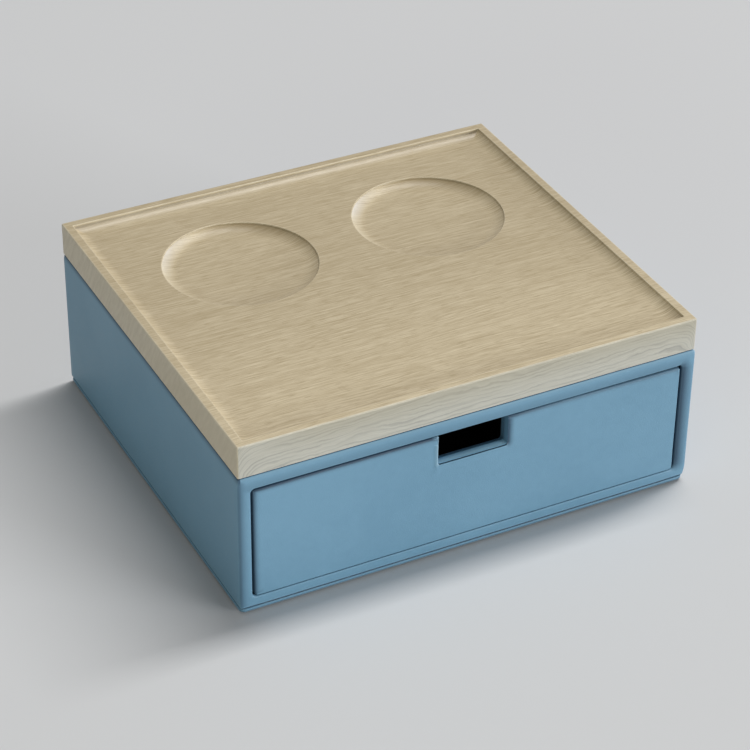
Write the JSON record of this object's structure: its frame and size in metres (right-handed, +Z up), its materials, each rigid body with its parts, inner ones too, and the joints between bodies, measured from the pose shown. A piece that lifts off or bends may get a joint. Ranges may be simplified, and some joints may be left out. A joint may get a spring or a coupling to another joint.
{
  "type": "tea bag drawer box",
  "caption": "Low rectangular box with a leather-covered case, one full-width drawer opened by a finger notch, and a coved wooden tray top with round cup recesses.",
  "frame": {"origin": "middle of the footprint, on the table under the rubber feet", "axes": "+X to the right seen from the drawer's side, +Y to the back, +Z up; the drawer opens towards -Y"},
  "size_m": [0.26, 0.2314, 0.1032],
  "materials": {
    "ash_wood": "light ash, fine straight grain along X, satin lacquer",
    "blue_leather": "light grey-blue leatherette, fine pebble grain, matt",
    "black_lining": "black microfibre, matt",
    "black_faced_board": "thin fibreboard faced with black microfibre paper",
    "fibreboard": "raw medium-density fibreboard, hidden",
    "rubber": "soft matt rubber",
    "zinc_steel": "bright zinc-plated steel"
  },
  "bodies": {
    "case": {"tray_top": "ash_wood", "tray_screws": "zinc_steel", "case_left_board": "fibreboard", "case_right_board": "fibreboard", "case_top_board": "fibreboard", "case_bottom_board": "fibreboard", "case_back_board": "fibreboard", "case_leather": "blue_leather", "bay_lining": "black_lining", "base_plate": "blue_leather", "rubber_feet": "rubber"},
    "drawer": {"drawer_front_board": "fibreboard", "drawer_front_leather": "blue_leather", "notch_trim": "blue_leather", "inner_notch_trim": "blue_leather", "drawer_inner_front": "black_faced_board", "drawer_left_side": "black_faced_board", "drawer_right_side": "black_faced_board", "drawer_back": "black_faced_board", "drawer_bottom": "black_faced_board", "drawer_floor_lining": "black_lining", "divider_across": "black_faced_board", "divider_left": "black_faced_board", "divider_right": "black_faced_board"}
  },
  "joints": [
    {"name": "drawer_slide", "type": "slide", "parent": "case", "child": "drawer", "axis": [0, -1, 0], "range_m": [0, 0.175]}
  ]
}
